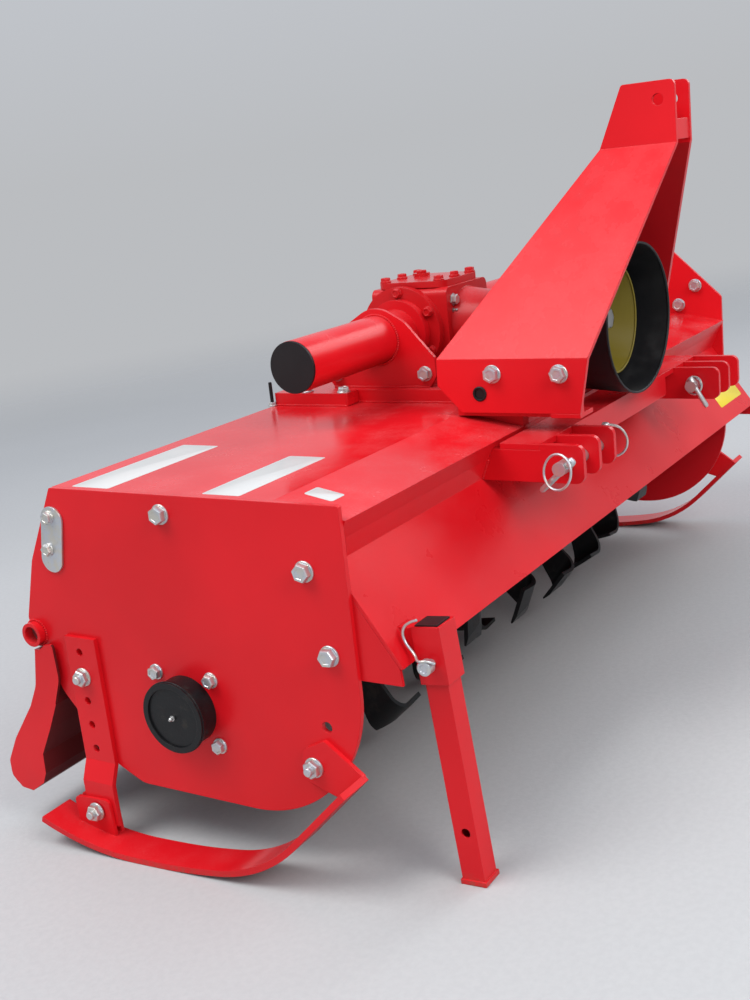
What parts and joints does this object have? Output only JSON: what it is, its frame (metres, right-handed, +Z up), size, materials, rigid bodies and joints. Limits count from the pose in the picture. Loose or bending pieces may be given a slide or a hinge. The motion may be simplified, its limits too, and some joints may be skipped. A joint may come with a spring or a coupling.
{
  "type": "rotavator",
  "caption": "A red rotary tiller for a tractor's three-point linkage, parked on its skids and front stand, with a hinged tailboard and a bladed rotor under a welded hood.",
  "frame": {"origin": "Under the middle of the whole machine's bounding box, on the ground the skids stand on.", "axes": "+X along the machine's width toward the side drive, +Y to the rear away from the tractor, +Z up."},
  "size_m": [1.862, 0.991, 1.0589],
  "materials": {
    "body_red": "gloss",
    "gearbox_red": "gloss",
    "black_parts": "satin",
    "zinc_steel": "satin",
    "bare_steel": "satin",
    "dark_plastic": "matte",
    "shield_yellow": "matte"
  },
  "bodies": {
    "root": {"end_plate_near": "body_red", "end_plate_far": "body_red", "side_drive_case": "body_red", "hood": "body_red", "panel_gusset_near": "body_red", "panel_gusset_far": "body_red", "bearing_hub_near": "black_parts", "bearing_hub_far": "black_parts", "hitch_beam": "body_red", "hitch_bracket_near": "body_red", "hitch_bracket_far": "body_red", "hitch_pin_near": "zinc_steel", "hitch_pin_far": "zinc_steel", "mast_plate_near": "body_red", "mast_plate_far": "body_red", "mast_tie": "body_red", "mast_foot_near": "body_red", "mast_foot_far": "body_red", "gearbox_base": "body_red", "gearbox": "gearbox_red", "gearbox_cover": "gearbox_red", "tube_support_near": "body_red", "tube_support_far": "body_red", "support_tube": "body_red", "support_tube_cap": "dark_plastic", "drive_tube": "body_red", "shield_back": "dark_plastic", "guard_cup": "shield_yellow", "pto_shield": "dark_plastic", "skid_near": "body_red", "skid_far": "body_red", "skid_strap_near": "body_red", "skid_strap_far": "body_red", "stand_sleeve": "body_red", "stand_pin": "zinc_steel", "hinge_rod": "bare_steel", "hinge_knuckles": "body_red"},
    "rotor": {"rotor_shaft": "black_parts", "rotor_tines": "black_parts"},
    "tail": {"tailboard": "body_red"},
    "stand": {"stand_leg": "body_red", "stand_leg_plug": "dark_plastic"},
    "input": {"input_shaft": "bare_steel"}
  },
  "joints": [
    {"name": "rotor_spin", "type": "hinge", "parent": "root", "child": "rotor", "pos_m": [-0.031, 0.06755, 0.24452], "axis": [1, 0, 0], "continuous": true},
    {"name": "tailboard_hinge", "type": "hinge", "parent": "root", "child": "tail", "pos_m": [-0.031, 0.36435, 0.34873], "axis": [1, 0, 0], "range_deg": [0, 95]},
    {"name": "stand_slide", "type": "slide", "parent": "root", "child": "stand", "axis": [0, 0.0419, 0.9991], "range_m": [0, 0.25]},
    {"name": "input_spin", "type": "hinge", "parent": "root", "child": "input", "pos_m": [-0.035, -0.22118, 0.67554], "axis": [0, 0.9985, 0.0541], "continuous": true}
  ],
  "couplings": [
    {"joint": "input_spin", "follows": "rotor_spin", "ratio": 2.6}
  ]
}
